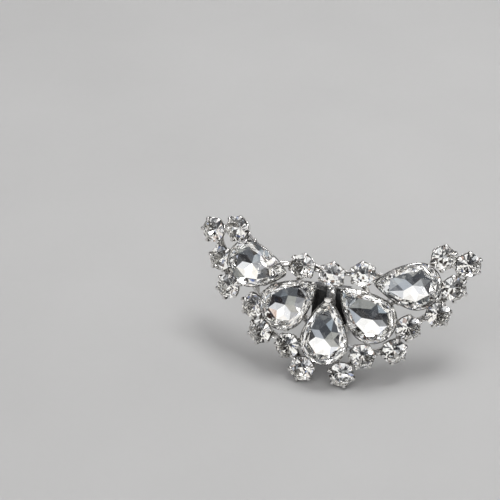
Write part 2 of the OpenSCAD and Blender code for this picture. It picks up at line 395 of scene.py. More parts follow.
class Nodes:
    """A node tree and the small set of nodes that its looks are built from."""

    def __init__(self, tree):
        self.nodes, self.links = tree.nodes, tree.links

    def new(self, kind, **settings):
        """A new node with some of its settings."""
        node = self.nodes.new("ShaderNode" + kind)
        for name, value in settings.items():
            setattr(node, name, value)
        return node

    def put(self, value, socket):
        """Sets a socket to another node's output or to a constant."""
        if isinstance(value, bpy.types.NodeSocket):
            self.links.new(value, socket)
        else:
            socket.default_value = value

    def ramp(self, value, stops):
        """A colour for each value."""
        ramp = self.new("ValToRGB")
        while len(ramp.color_ramp.elements) < len(stops):
            ramp.color_ramp.elements.new(0.5)
        for element, (position, colour) in zip(ramp.color_ramp.elements, stops):
            element.position = position
            element.color = (*colour, 1)
        self.put(value, ramp.inputs[0])
        return ramp.outputs[0]

    def mix(self, first, second, amount, blend="MIX"):
        """The first colour with the second laid over it by an amount."""
        mix = self.new("Mix", data_type="RGBA", blend_type=blend)
        sockets = {socket.name: socket for socket in mix.inputs if socket.type == "RGBA"}
        self.put(amount, mix.inputs["Factor"])
        self.put(first, sockets["A"])
        self.put(second, sockets["B"])
        return [socket for socket in mix.outputs if socket.type == "RGBA"][0]

    def spread(self, value, start, end, low=0.0, high=1.0, kind="LINEAR"):
        """The value's span from start to end spread over low to high."""
        spread = self.new("MapRange", interpolation_type=kind)
        for key, number in (("From Min", start), ("From Max", end), ("To Min", low), ("To Max", high)):
            spread.inputs[key].default_value = number
        self.put(value, spread.inputs["Value"])
        return spread.outputs[0]

    def maths(self, operation, *values):
        node = self.new("Math", operation=operation)
        for value, socket in zip(values, node.inputs):
            self.put(value, socket)
        return node.outputs[0]

    def dot(self, vector, axis):
        node = self.new("VectorMath", operation="DOT_PRODUCT")
        self.put(vector, node.inputs[0])
        self.put(axis, node.inputs[1])
        return node.outputs["Value"]


class Look(Nodes):
    """A Principled material."""

    def __init__(self, name, values):
        self.made = bpy.data.materials.new(name)
        self.made.use_nodes = True
        super().__init__(self.made.node_tree)
        self.shader = self.nodes["Principled BSDF"]
        for key, value in values.items():
            self.shader.inputs[key].default_value = value

    def spots(self, per_mm, detail, stretch=(1, 1, 1)):
        """Soft random spots, so many to a millimetre."""
        where = self.new("TexCoord")
        sized = self.new("Mapping")
        sized.inputs["Scale"].default_value = stretch
        noise = self.new("TexNoise")
        noise.inputs["Scale"].default_value = per_mm / MM
        noise.inputs["Detail"].default_value = detail
        self.put(where.outputs["Object"], sized.inputs["Vector"])
        self.put(sized.outputs[0], noise.inputs["Vector"])
        return noise.outputs[0]

    def corners(self, reach):
        """How open a place is, 0 in the deep corners within a reach in millimetres."""
        shade = self.new("AmbientOcclusion", samples=8)
        shade.inputs["Distance"].default_value = reach * MM
        return shade.outputs["AO"]

    def colour(self, spots, stops, reach=None, painted_shade=None):
        """A colour for each of the spots' values, with painted shade in the corners within a reach."""
        colour = self.ramp(self.spots(*spots), stops)
        if painted_shade:
            # Painted shade: the colour is multiplied darker where ambient occlusion finds corners
            colour = self.mix(colour, self.ramp(self.corners(reach), painted_shade), 1.0, "MULTIPLY")
        self.put(colour, self.shader.inputs["Base Color"])

    def roughness(self, spots, start, end, low, high):
        """Roughness from low to high over the spots' span from start to end."""
        self.put(self.spread(self.spots(*spots), start, end, low, high), self.shader.inputs["Roughness"])

    def bump(self, spots, strength, rise):
        """Raises the surface by the spots, rise being in millimetres."""
        bump = self.new("Bump")
        bump.inputs["Strength"].default_value = strength
        bump.inputs["Distance"].default_value = rise * MM
        self.put(self.spots(*spots), bump.inputs["Height"])
        self.put(bump.outputs[0], self.shader.inputs["Normal"])


# Clear glass with faint handling marks and slightly uneven polish
glass = Look("clear_glass", {"IOR": 1.55, "Transmission Weight": 1.0})
glass.colour((0.3, 1), [(0.3, (1.0, 0.995, 0.985)), (0.7, (0.985, 0.995, 1.0))])
glass.roughness((1.1, 4), 0.58, 0.75, 0.0, 0.06)
glass.bump((0.5, 1), 0.15, 0.02)

# Mirror foil on the stones' backs, a little uneven, with small worn spots
foil = Look("foil_back", {"Metallic": 1.0})
foil.colour((0.8, 3), [(0.2, (0.86, 0.855, 0.85)), (0.45, (0.95, 0.945, 0.93)), (0.62, (0.955, 0.95, 0.94)),
                       (0.8, (0.9, 0.91, 0.92))])
foil.roughness((2.0, 3), 0.3, 0.75, 0.015, 0.07)
foil.bump((0.7, 2), 0.12, 0.01)

# Silver plating: bright where it is open and darkened in its corners, partly tarnish and partly painted
# shade, with cast and polished unevenness
plating = Look("silver_plate", {"Metallic": 1.0})
plating.colour((0.8, 5), [(0.3, (0.76, 0.75, 0.73)), (0.5, (0.86, 0.85, 0.83)), (0.7, (0.92, 0.91, 0.89))],
               1.4, [(0.25, (0.1, 0.095, 0.09)), (0.55, (0.5, 0.49, 0.47)), (0.85, (1.0, 1.0, 1.0))])
plating.roughness((2.5, 4), 0.3, 0.7, 0.1, 0.24)
plating.bump((3.2, 4), 0.15, 0.02)

# Spring steel of the clip, brushed along its length, with painted shade darkening it near its corners within
# 6 mm
steel = Look("clip_steel", {"Metallic": 1.0})
steel.colour((0.35, 4, (16, 1, 1)),
             [(0.3, (0.54, 0.54, 0.535)), (0.6, (0.63, 0.63, 0.63)), (0.8, (0.68, 0.68, 0.68))],
             6, [(0.3, (0.06, 0.06, 0.06)), (0.6, (0.35, 0.35, 0.35)), (0.8, (1.0, 1.0, 1.0))])
steel.roughness((0.4, 5, (24, 1, 1)), 0.3, 0.7, 0.22, 0.4)
steel.bump((0.4, 5, (30, 1, 1)), 0.3, 0.01)

# Solder, duller and greyer than the plating
solder = Look("solder", {"Metallic": 1.0})
solder.colour((2.0, 5), [(0.3, (0.42, 0.42, 0.43)), (0.7, (0.7, 0.7, 0.7))])
solder.roughness((3.0, 4), 0.3, 0.7, 0.25, 0.5)
solder.bump((2.0, 4), 0.5, 0.04)

# Pale matt paper under the object
paper = Look("pale_floor", {})
paper.colour((0.02, 3), [(0.3, (0.475, 0.475, 0.47)), (0.7, (0.5, 0.5, 0.495))])
paper.roughness((0.5, 4), 0.3, 0.7, 0.82, 0.95)
paper.bump((2.0, 5), 0.12, 0.05)


# Stones

# The cuts: directions of the mains, shares of the outline that the table and the meets of the crown's facets
# lie at, and how fast those meets fall. A pear's steps are their shares and their slope in degrees
ROUND_CUT = {"mains": [45 * k for k in range(8)], "table": [0.56] * 8, "crown_mid": [0.76] * 8,
             "crown_drop": 1.0}
PEAR_CUT = {
    "mains": [0, 34, 82, 132, 180, 228, 278, 326],
    "table": [0.88, 0.82, 0.76, 0.74, 0.74, 0.74, 0.76, 0.82],
    "crown_mid": [0.91, 0.88, 0.86, 0.86, 0.86, 0.86, 0.88, 0.91],
    "crown_drop": 0.7,
    "steps": [([0.4] * 8, 9), ([0.8, 0.72, 0.68, 0.68, 0.68, 0.68, 0.72, 0.8], 12)],
}
PEAR_POINT = 2.3
# How far from the butt circle's centre each pear's culet lies towards its tip
PEAR_CULETS = {"a": 0.6, "b": 0.5, "c": 0.35, "d": -0.1, "e": 0.9}
# Round stones are turned and tilted in their cups, by these many degrees at most
MOST_TURN = 22.5
MOST_TILT = 1.3
ROUND_TURNS = np.random.default_rng(12)
# A facet is part of the crown when its unit normal points up by more than this
CROWN_FACES_UP = 0.1
# How far beside a crown's triangle a place may lie and still count, as a share of the triangle
HAIR = 0.001
# The height that stands for no crown at a place
NO_CROWN = -99


def crown_of(points, faces):
    """The triangles of a stone's crown in its seat."""
    fans = [(face[0], face[k], face[k + 1]) for face in faces for k in range(1, len(face) - 1)]
    corners = points[np.array(fans)]
    normal = np.cross(corners[:, 1] - corners[:, 0], corners[:, 2] - corners[:, 0])
    return corners[normal[:, 2] > CROWN_FACES_UP * np.linalg.norm(normal, axis=1)]


def crown_height(crown, x, y):
    """The height of a stone's crown at places in its seat, or NO_CROWN."""
    start, first, second = crown[:, 0], crown[:, 1] - crown[:, 0], crown[:, 2] - crown[:, 0]
    size = first[:, 0] * second[:, 1] - first[:, 1] * second[:, 0]
    dx, dy = np.subtract.outer(x, start[:, 0]), np.subtract.outer(y, start[:, 1])
    u = (dx * second[:, 1] - dy * second[:, 0]) / size
    v = (first[:, 0] * dy - first[:, 1] * dx) / size
    within = (u > -HAIR) & (v > -HAIR) & (u + v < 1 + HAIR)
    return np.where(within, start[:, 2] + u * first[:, 2] + v * second[:, 2], NO_CROWN).max(axis=-1)


def make_stone(key):
    """Makes a stone of clear glass with foil on its back, and notes its crown in its seat."""
    seat = SEATS[key]
    place = seat["place"]
    if key in PEARS:
        culet = np.array([PEAR_CULETS[key], 0.0])
        gem = Gem(edge_from(pear_edge(seat), culet), PEAR_CUT["mains"], culet)
        gem.cut_stepped_back(gem.cut_front(PEAR_CUT, seat["crown"]), PEAR_POINT, PEAR_CUT["steps"])
    else:
        gem = Gem(edge_from(round_edge(seat), np.zeros(2)), ROUND_CUT["mains"], np.zeros(2))
        gem.cut_plain_back(gem.cut_front(ROUND_CUT, seat["crown"]), seat["depth"])
        turn, lean_x, lean_y = ROUND_TURNS.uniform(-1, 1, 3) * [MOST_TURN, MOST_TILT, MOST_TILT]
        place = place @ np.array(Matrix.Rotation(radians(lean_x), 4, "X")
                                 @ Matrix.Rotation(radians(lean_y), 4, "Y")
                                 @ Matrix.Rotation(radians(turn), 4, "Z"))
    in_seat = np.array(gem.points) @ (np.linalg.inv(seat["place"]) @ place)[:3, :3].T
    seat["facets"] = crown_of(in_seat, gem.faces)
    stone = Heap()
    stone.add(gem.points, gem.faces, place, gem.marks)
    stone.piece(STONES[key] + "_cut", [glass, foil], [STONES[key]], "crystal")


for stone_key in STONES:
    make_stone(stone_key)


# Setting: stamped cups. Heights in a cup are about its stone's girdle

SHEET = 0.2
ROUND_FOOT_R = 1.9
ROUND_WALL_SLOPE = 0.345
ROUND_CLAWS = 6
ROUND_CUP_STEPS = 72
PEAR_CUP_STEPS = 128
# A round cup's skin from its foot over its wall and scalloped rim to its floor: height, how far in from the
# wall's outside, and how deep the scallops between its claws are there
ROUND_PROFILE = [
    (-2.8, 0.5, 0), (-2.8, 0.14, 0), (-2.76, 0.05, 0), (-2.68, 0, 0), (-2.2, 0, 0), (-1.6, 0, 0),
    (-1.0, 0, 0.25), (-0.5, 0, 0.45), (-0.2, 0, 0.6), (-0.15, 0.06, 0.6), (-0.15, SHEET - 0.06, 0.6),
    (-0.2, SHEET, 0.6), (-0.5, SHEET, 0.45), (-1.0, SHEET, 0.25), (-2.3, SHEET, 0), (-2.55, 0.45, 0),
    (-2.6, 0.9, 0),
]
# How sharply the scallops rise to the claws
SCALLOP_POWER = 1.5
# A pear cup's skin in four stretches: its foot and wall, its flange, its lip, and its inside down to its
# floor. Each row is a height, a share of the stone's outline, and how far outward from there
PEAR_PROFILE = [
    (-4.4, 0.38, 0), (-4.4, 0.475, 0), (-4.35, 0.505, 0), (-4.22, 0.53, 0), (-3.2, 0.65, 0), (-2, 0.785, 0),
    (-1.1, 0.89, 0), (-0.66, 0.99, 0),

    (-0.5, 1, 0.11), (-0.46, 1, 0.17), (-0.41, 1, 0.21), (-0.34, 1, 0.22), (-0.29, 1, 0.2), (-0.28, 1, 0.18),
    (-0.36, 1, 0.145),

    (-0.2, 1, 0.12), (0.04, 1, 0.12), (0.1, 1, 0.115), (0.12, 1, 0.095), (0.1, 1, 0.075), (0, 1, 0.06),
    (-0.16, 1, 0.06),

    (-0.42, 1, -0.03), (-0.7, 0.95, 0), (-2, 0.71, 0), (-3.6, 0.5, 0), (-4.05, 0.38, 0),
]
PEAR_FLOOR = -4.08
# The wall that a pear cup's claws and links stand on: heights, and shares of the stone's outline there
PEAR_WALL = [-4.22, -3.2, -2, -1.1, -0.66], [0.53, 0.65, 0.785, 0.89, 1.0]


def round_wall(z):
    """Outer radius of a round cup at a height."""
    return ROUND_FOOT_R + (z + ROUND_BACK) * ROUND_WALL_SLOPE


def round_cup(first_claw):
    """A round cup, its rim scalloped between its claws."""
    turns = np.arange(ROUND_CUP_STEPS) * 2 * pi / ROUND_CUP_STEPS
    notch = (0.5 - 0.5 * np.cos(ROUND_CLAWS * (turns - radians(first_claw)))) ** SCALLOP_POWER
    rings = []
    for z, inset, dip in ROUND_PROFILE:
        heights = z - dip * notch
        reach = round_wall(heights) - inset
        rings.append(np.stack([reach * np.cos(turns), reach * np.sin(turns), heights], 1))
    return skin(rings, np.array([0, 0, ROUND_PROFILE[0][0]]), np.array([0, 0, ROUND_PROFILE[-1][0]]))


def pear_cup(seat):
    """A pear cup with its flange and lip."""
    outline = pear_edge(seat, PEAR_CUP_STEPS)
    heading = np.roll(outline, -1, 0) - np.roll(outline, 1, 0)
    normal = np.stack([heading[:, 1], -heading[:, 0]], 1)
    normal /= np.linalg.norm(normal, axis=1)[:, None]
    rings = []
    for z, share, grow in PEAR_PROFILE:
        rings.append(np.column_stack([outline * share + normal * grow, np.full(len(outline), float(z))]))
    return skin(rings, np.array([0, 0, PEAR_PROFILE[0][0]]), np.array([0, 0, PEAR_FLOOR]))


# Claws

ROUND_CLAW_WIDTH = 0.85
# How far a claw folds over the stone, how far its bend stands out, and its end's share of its width
ROUND_CLAW_FOLD = 0.56
ROUND_CLAW_STAND = 0.12
ROUND_CLAW_END = 0.55
PEAR_CLAW_END = 0.9
# Direction of each round cup's first claw, in stone order
FIRST_CLAW = [3, 14, 50, 20, 40, 20, 5, 12, 48, 10, 25, 32, 15, 40, 30, 27, 20, 27, 40]
# The pear cups' claws: direction from the butt circle's centre, width, and how far each folds over the stone
PEAR_CLAWS = {
    "a": [(104, 1.0, 0.5), (19, 1.7, 1.25), (-100, 0.8, 0.35), (-35, 0.9, 0.5)],
    "b": [(-24, 1.1, 0.6), (-114, 1.1, 0.5), (109, 1.0, 0.5), (19, 0.9, 0.5)],
    "c": [(113, 0.9, 0.5), (-107, 0.9, 0.5), (0, 1.7, 0.25)],
    "d": [(-20, 1.2, 0.6), (-102, 1.2, 0.6), (55, 0.9, 0.5), (122, 1.0, 0.5)],
    "e": [(-27, 1.0, 0.5), (154, 1.0, 0.5), (-111, 1.0, 0.5), (45, 0.9, 0.5)],
}
# How far the bend of a claw over a pear's tip stands out
TIP_CLAW_STAND = 0.25
CLAW_HALF_T = 0.15
# How far claws keep from the stones
CLAW_GAP = 0.04
# How far the middle of a claw's thicker end lies over the stone beyond the gap, in half thicknesses
CLAW_REST = 1.35
# Heights that a claw's foot is shaped at, and how far its middle lies outside the cup's wall there
FOOT_Z = np.array([-1.2, -0.7])
ROUND_CLAW_OUT = 0.03
PEAR_CLAW_OUT = 0.1
# Where along a claw its width and its thickness change, from 0 to 1, and the shares of its thickness there
CLAW_WIDE_AT = [0, 0.5, 0.75, 1]
CLAW_THICK_AT, CLAW_THICK = [0, 0.6, 0.85, 1], [1, 1, 1.3, 1.3]
CLAW_STATIONS = 14
# The radius of a claw's end, as a share of its width
CLAW_END_R = 0.45
# A claw's slope is measured over the crown from this far in to this far past its fold, and this share of its
# width to each side
SLOPE_FROM, SLOPE_PAST, SLOPE_ASIDE = 0.15, 0.1, 0.55


def claw_slope(seat, edge, facing, width, fold):
    """How steeply a claw at a point of the edge has to rise to lie over the stone's crown."""
    run, aside = np.meshgrid(np.linspace(SLOPE_FROM, fold + SLOPE_PAST, 8),
                             np.linspace(-SLOPE_ASIDE, SLOPE_ASIDE, 7) * width)
    x = edge[0] - run * cos(facing) - aside * sin(facing)
    y = edge[1] - run * sin(facing) + aside * cos(facing)
    return max(((crown_height(seat["facets"], x, y) - GIRDLE_HALF) / run).max(), 0.0)


def claw(foot, width, fold, slope, stand, end):
    """A claw about a point of the stone's edge: it stands on the cup's wall, rounds the girdle and lies on
    the crown. X is outward, Y along its width. foot says how far out it is at the foot's heights, stand how
    far its bend stands out, and end is its end's share of the width."""
    rest = GIRDLE_HALF + CLAW_GAP + CLAW_REST * CLAW_HALF_T * hypot(1, slope)
    knots = [
        (foot[0], 0, FOOT_Z[0]),
        (foot[1], 0, FOOT_Z[1]),
        (0.14 + stand, 0, -0.3),
        (0.2 + stand, 0, 0.02),
        (0.17 + stand, 0, rest - 0.07),
        (0.05 + 0.5 * stand, 0, rest + 0.05),
        (-0.12, 0, rest + 0.14 * slope),
        (-fold, 0, rest + fold * slope),
    ]
    points, left, along = stations(curve_through(knots), CLAW_STATIONS, CLAW_END_R * width)
    widths = np.interp(along, CLAW_WIDE_AT, [1.35, 1.0, 0.5 + 0.45 * end, end]) * width / 2
    thick = np.interp(along, CLAW_THICK_AT, CLAW_THICK) * CLAW_HALF_T
    thick = thick * np.maximum(left, 0.35) ** 0.5
    return sweep(points, widths * left, thick, np.array([0.0, 1.0, 0.0]), CLAW_HALF_T)


def clear_of_crown(seat, points):
    """A claw's points, those that would lie in the stone's crown raised to just above it."""
    lifted = points.copy()
    over = points[:, 2] > 0
    least = crown_height(seat["facets"], points[over, 0], points[over, 1]) + CLAW_GAP
    lifted[over, 2] = np.maximum(points[over, 2], least)
    return lifted


def add_claw(heap, seat, edge, facing, foot, width, fold, stand, end):
    """Adds a claw at a point of the stone's edge, facing outward in a direction in radians."""
    place = np.eye(4)
    place[:2, 0] = cos(facing), sin(facing)
    place[:2, 1] = -sin(facing), cos(facing)
    place[:2, 3] = edge
    slope = claw_slope(seat, edge, facing, width, fold)
    points, faces = claw(foot, width, fold, slope, stand, end)
    heap.add(clear_of_crown(seat, moved(place, points)), faces, seat["place"])


def make_round_settings():
    cups, claws = Heap(), Heap()
    for number, first in enumerate(FIRST_CLAW, 1):
        seat = SEATS[str(number)]
        cups.add(*round_cup(first), seat["place"])
        foot = round_wall(FOOT_Z) - seat["reach"] + ROUND_CLAW_OUT
        for k in range(ROUND_CLAWS):
            direction = first + 360 * k / ROUND_CLAWS
            edge = seat["reach"] * compass(direction)
            add_claw(claws, seat, edge, radians(direction), foot, ROUND_CLAW_WIDTH, ROUND_CLAW_FOLD,
                     ROUND_CLAW_STAND, ROUND_CLAW_END)
    return cups, claws


def make_pear_settings():
    cups, claws = Heap(), Heap()
    for letter, rows in PEAR_CLAWS.items():
        seat = SEATS[letter]
        cups.add(*pear_cup(seat), seat["place"])
        at = edge_from(pear_edge(seat), np.zeros(2))
        for direction, width, fold in rows:
            edge = at(direction)
            heading = at(direction + 1) - at(direction - 1)
            facing = atan2(-heading[0], heading[1])
            apart = edge @ [cos(facing), sin(facing)]
            foot = (np.interp(FOOT_Z, *PEAR_WALL) - 1) * apart + PEAR_CLAW_OUT
            stand = TIP_CLAW_STAND if direction == 0 else 0.0
            add_claw(claws, seat, edge, facing, foot, width, fold, stand, PEAR_CLAW_END)
    return cups, claws


# Links between the cups: bars along the back, and wires below the girdles

# Bars: the two cups and the bar's width
BARS = [
    ("1", "2", 1.2), ("1", "3", 1), ("3", "4", 1.4), ("3", "a", 1.4), ("2", "a", 1.4), ("4", "a", 1.4),
    ("5", "a", 1), ("5", "6", 1.2), ("5", "b", 1.4), ("6", "7", 1.2), ("7", "8", 1.2), ("7", "c", 1.4),
    ("8", "c", 1.4), ("9", "c", 1.4), ("10", "c", 1.4), ("9", "10", 1.2), ("10", "11", 1.2),
    ("11", "12", 1.2), ("12", "d", 1.4), ("12", "13", 1), ("13", "e", 1.4), ("13", "14", 1.4),
    ("14", "15", 1), ("15", "16", 1.2), ("16", "e", 1.4), ("17", "18", 1.2), ("18", "19", 1),
    ("17", "a", 1), ("17", "b", 1.2), ("18", "c", 2), ("19", "d", 1.2), ("19", "e", 1), ("a", "b", 1.6),
    ("b", "c", 1.6), ("c", "d", 1.6), ("d", "e", 1.6),
]
# A bar's height above the frame's back, how far it runs on inside the cups' walls, and its section
BAR_HEIGHT = 0.32
BAR_INSET = 0.8
BAR_HALF_T = 0.2
BAR_CORNER = 0.12
BAR_STATIONS = 13
# Bars flare where they meet the walls: over what length, and by what shares of their width and thickness
FLARE_LENGTH = 0.45
FLARE_WIDTH = 0.35
FLARE_THICKNESS = 0.3
# Wires: the two cups, the wire's heights above the frame's back at each, its radius, how far it bows outward,
# and how far its ends lie aside, if they do
WIRES = [
    ("1", "3", (2.1, 2.1), 0.3, 0.2), ("2", "a", (2.2, 3.7), 0.34, 0.1, (2.1, 3.9)),
    ("2", "a", (2.1, 2.1), 0.25, 0.3, (-0.2, -0.2)), ("a", "5", (3.4, 1.8), 0.38, 0.15, (0.2, 2.4)),
    ("6", "7", (2.1, 2.1), 0.22, 0.1), ("a", "17", (3.3, 2.0), 0.42, 0.3, (0, 0.3)),
    ("17", "18", (2.0, 2.0), 0.28, 0.2), ("18", "19", (2.2, 2.2), 0.2, 0.1),
    ("10", "11", (2.2, 2.2), 0.28, 0.3), ("12", "13", (2.1, 2.1), 0.26, 0.2),
    ("15", "16", (2.1, 2.1), 0.26, 0.2), ("d", "e", (2.9, 2.9), 0.27, 0.4),
    ("13", "14", (2.0, 2.0), 0.26, 0.2), ("3", "4", (2.0, 2.0), 0.26, 0.2), ("1", "2", (2.1, 2.1), 0.26, 0.1),
]
# A wire's ends stop this far outside the cups' walls, within their lumps of solder
WIRE_OUT = 0.05
# How much a wire bows beyond a straight line to its middle at a quarter of its length, and how it swells
WIRE_ROUND = 0.2
WIRE_SWELL = 0.15
WIRE_SWELL_POWER = 5
# A wire's points from each of its knots to the next
WIRE_STEPS = 3
# A wire's lumps of solder: their radii in the wire's radius, and how much further than that radius their
# middles lie from the wire's ends
LUMP = np.array([1.15, 1.5, 1.35])
LUMP_AHEAD = 0.04
# How strong and how close the two waves of a lump's unevenness are, the elevations of its rings, and how far
# its poles stand out
LUMP_WAVES = (0.1, 2.1), (0.08, 3.3)
LUMP_RINGS = np.radians(np.linspace(-75, 75, 9))
LUMP_POLE = 1.03


def blob(middle, radii, axes, seed, steps=18):
    """A lump of solder: an uneven ball at a point with its radii along three axes."""
    shape = np.random.default_rng(seed).uniform(-1, 1, (3, 3))
    (wide, wide_close), (small, small_close) = LUMP_WAVES
    rings = []
    for up in LUMP_RINGS:
        ring = []
        for turn in np.linspace(0, 2 * pi, steps, endpoint=False):
            p = np.array([cos(up) * cos(turn), cos(up) * sin(turn), sin(up)])
            swell = 1 + wide * sin(wide_close * float(shape[0] @ p) + 1)
            swell += small * sin(small_close * float(shape[1] @ p))
            ring.append(middle + (p * swell * radii) @ axes)
        rings.append(np.array(ring))
    pole = LUMP_POLE * radii[2] * axes[2]
    return skin(rings, middle - pole, middle + pole)


def wall_point(seat, other, height, outside, aside=0.0):
    """A point outside a cup's wall on the side of another cup, at a height above the back. aside turns it
    round the cup by an angle in degrees."""
    turn = direction_to(seat, other) + aside
    z = height - seat["back"]
    if seat["back"] == ROUND_BACK:
        reach = round_wall(z)
    else:
        reach = np.linalg.norm(edge_from(pear_edge(seat), np.zeros(2))(turn)) * np.interp(z, *PEAR_WALL)
    return moved(seat["place"], [*(reach + outside) * compass(turn), z])


def add_bar(links, first, second, width):
    """Adds a bar between two seats' cups."""
    start = wall_point(first, second, BAR_HEIGHT, -BAR_INSET)
    end = wall_point(second, first, BAR_HEIGHT, -BAR_INSET)
    out = unit(first["place"][:3, 2] + second["place"][:3, 2])
    shares = np.linspace(0, 1, BAR_STATIONS)
    length = np.linalg.norm(end - start)
    run = shares * length
    flare = (np.exp(-((run - BAR_INSET) / FLARE_LENGTH) ** 2)
             + np.exp(-((length - run - BAR_INSET) / FLARE_LENGTH) ** 2))
    half_w = (1 + FLARE_WIDTH * flare) * width / 2
    half_t = BAR_HALF_T * (1 + FLARE_THICKNESS * flare)
    path = start + shares[:, None] * (end - start)
    links.add(*sweep(path, half_w, half_t, np.cross(end - start, out), BAR_CORNER))


def add_wire(links, lumps, first, second, heights, radius, bow, asides=(0, 0)):
    """Adds a wire between two seats' cups, with a lump of solder at each end."""
    turn_first, turn_second = (degrees(aside / seat["half_width"])
                               for aside, seat in zip(asides, (first, second)))
    start = wall_point(first, second, heights[0], WIRE_OUT, turn_first)
    end = wall_point(second, first, heights[1], WIRE_OUT, -turn_second)
    out = unit(first["place"][:3, 2] + second["place"][:3, 2])
    middle = (start + end) / 2 + bow * out
    rounding = WIRE_ROUND * bow * out
    knots = [start, (start + middle) / 2 + rounding, middle, (end + middle) / 2 + rounding, end]
    path = curve_through(knots, WIRE_STEPS)
    thick = radius * (1 + WIRE_SWELL * np.abs(np.linspace(-1, 1, len(path))) ** WIRE_SWELL_POWER)
    links.add(*sweep(path, thick, thick, np.cross(end - start, out), thick.max()))
    ahead = unit(end - start)
    axes = np.array([ahead, unit(np.cross(out, ahead)), unit(out)])
    inward = (LUMP_AHEAD + radius) * ahead
    for at in (path[0] + inward, path[-1] - inward):
        lumps.add(*blob(at, LUMP * radius, axes, len(lumps.points)))


# The frame's face: how far it leans back, and its middle's height and place along Y

LEAN = radians(64)
LIFT = 11.850
SHIFT_Y = -2.4106
# Two pads of solder hold the clip's plate to the frame's back: along, up, out, and their radii
PADS = [((0.0, -4.1, -0.15), (2.0, 1.5, 0.25)), ((0.0, 3.5, -0.1), (1.2, 1.2, 0.45))]
PAD_STEPS = 40
PAD_SEED = 7
# Edges of the metal below these angles are rounded, in degrees
METAL_SMOOTH = 35
SOLDER_SMOOTH = 50


def from_side(up, out, along=0.0):
    """A world point from how far it lies up the face, out of it and along it."""
    return np.array([along, SHIFT_Y + up * cos(LEAN) - out * sin(LEAN),
                     LIFT + up * sin(LEAN) + out * cos(LEAN)])


def make_frame():
    """The soldered frame in separate pieces: cups, claws, links and solder."""
    round_cups, round_claws = make_round_settings()
    pear_cups, pear_claws = make_pear_settings()
    links, lumps, pads = Heap(), Heap(), Heap()
    for first, second, width in BARS:
        add_bar(links, SEATS[first], SEATS[second], width)
    for first, second, *shape in WIRES:
        add_wire(links, lumps, SEATS[first], SEATS[second], *shape)
    face_axes = np.array([[1, 0, 0], from_side(1, 0) - from_side(0, 0), from_side(0, 1) - from_side(0, 0)])
    for (along, up, out), radii in PADS:
        pads.add(*blob(from_side(up, out, along), np.array(radii), face_axes, len(pads.points) + PAD_SEED,
                       PAD_STEPS))
    for heap, name, look in ((pads, "clip_solder", solder), (lumps, "wire_solder", plating)):
        heap.piece(name, [look], ["setting_frame"], "silver_plate", SOLDER_SMOOTH)
    for heap, name in ((round_cups, "round_cups"), (round_claws, "round_claws"), (pear_cups, "pear_cups"),
                       (pear_claws, "pear_claws"), (links, "links")):
        heap.piece(name, [plating], ["setting_frame"], "silver_plate", METAL_SMOOTH)


make_frame()


# The clip: a strip bent back under itself, seen from the side as up the face and out of it

CLIP_HALF_W = 4.0
CLIP_T = 0.8
CLIP_GAP = 0.3
CLIP_EDGE_R = 0.22
# The radius of the strip's outer corners seen from above, and how far from its ends it thins
CORNER_R = 1.6
THINNING = 0.4
MOST_THINNING = 0.97
# How far up the face the plate's points lie below the bend, closer where its corners round off
PLATE_UPS = (-6.0, -5.97, -5.9, -5.75, -5.5, -5.2, -4.8, -4.4, -2, 1, 4)
PLATE_HIGH = 5.5
BEND_R = 0.9
BEND_TURN = 128
BEND_STEPS = 25
# How far from the bend the tongue's points lie, closer where its corners round off
TONGUE_RUNS = (2, 6, 10, 14, 16, 16.6, 17.1, 17.5, 17.9, 18.1, 18.25, 18.3)


def make_clip():
    side_path = [(up, -CLIP_GAP - CLIP_T / 2) for up in PLATE_UPS]
    bend_mid = (PLATE_HIGH, -CLIP_GAP - CLIP_T - BEND_R)
    mid_r = BEND_R + CLIP_T / 2
    for turn in np.linspace(90, 90 - BEND_TURN, BEND_STEPS):
        a = radians(turn)
        side_path.append((bend_mid[0] + mid_r * cos(a), bend_mid[1] + mid_r * sin(a)))
    root = np.array(side_path[-1])
    heading = np.array([sin(a), -cos(a)])
    side_path.extend(tuple(root + run * heading) for run in TONGUE_RUNS)
    run = run_of(np.array(side_path))
    near = np.minimum(run, run[-1] - run)
    corner = np.clip(CORNER_R - near, 0, CORNER_R)
    widths = CLIP_HALF_W - CORNER_R + np.sqrt(CORNER_R ** 2 - corner ** 2)
    thick = CLIP_T / 2 * np.sqrt(1 - np.clip(1 - near / THINNING, 0, MOST_THINNING) ** 2)
    path = [from_side(up, out) for up, out in side_path]
    clip = Heap()
    clip.add(*sweep(path, widths, thick, np.array([1.0, 0.0, 0.0]), CLIP_EDGE_R, 4))
    clip.piece("shoe_clip_strip", [steel], ["shoe_clip"], "clip_steel", METAL_SMOOTH)


make_clip()


# Stage

FLOOR_HALF = 1500
WALL_R, WALL_HEIGHT = 1450, 1600
WALL_STEPS = 96
WALL_SMOOTH = 60

stage = Heap()
stage.add(FLOOR_HALF * np.array([(-1, -1, 0), (1, -1, 0), (1, 1, 0), (-1, 1, 0)]), [(0, 1, 2, 3)])
floor = stage.build("floor", [paper])
floor.visible_transmission = False
# A pale wall far behind, which only the camera sees, so that low views don't look into the dark of the tent
wall = Heap()
wall_turns = np.linspace(0, 2 * pi, WALL_STEPS, endpoint=False)
wall_foot = WALL_R * np.stack([np.cos(wall_turns), np.sin(wall_turns), np.zeros(WALL_STEPS)], 1)
wall_faces = []
for i in range(WALL_STEPS):
    j = (i + 1) % WALL_STEPS
    wall_faces.append((i, i + WALL_STEPS, j + WALL_STEPS, j))
wall.add(np.vstack([wall_foot, wall_foot + [0, 0, WALL_HEIGHT]]), wall_faces)
backdrop = wall.build("backdrop", [paper], WALL_SMOOTH)
for kind in ("diffuse", "glossy", "transmission", "shadow", "volume_scatter"):
    setattr(backdrop, "visible_" + kind, False)


# The light tent, made of the world's nodes. Azimuths are from the front towards +X, and angles are in degrees

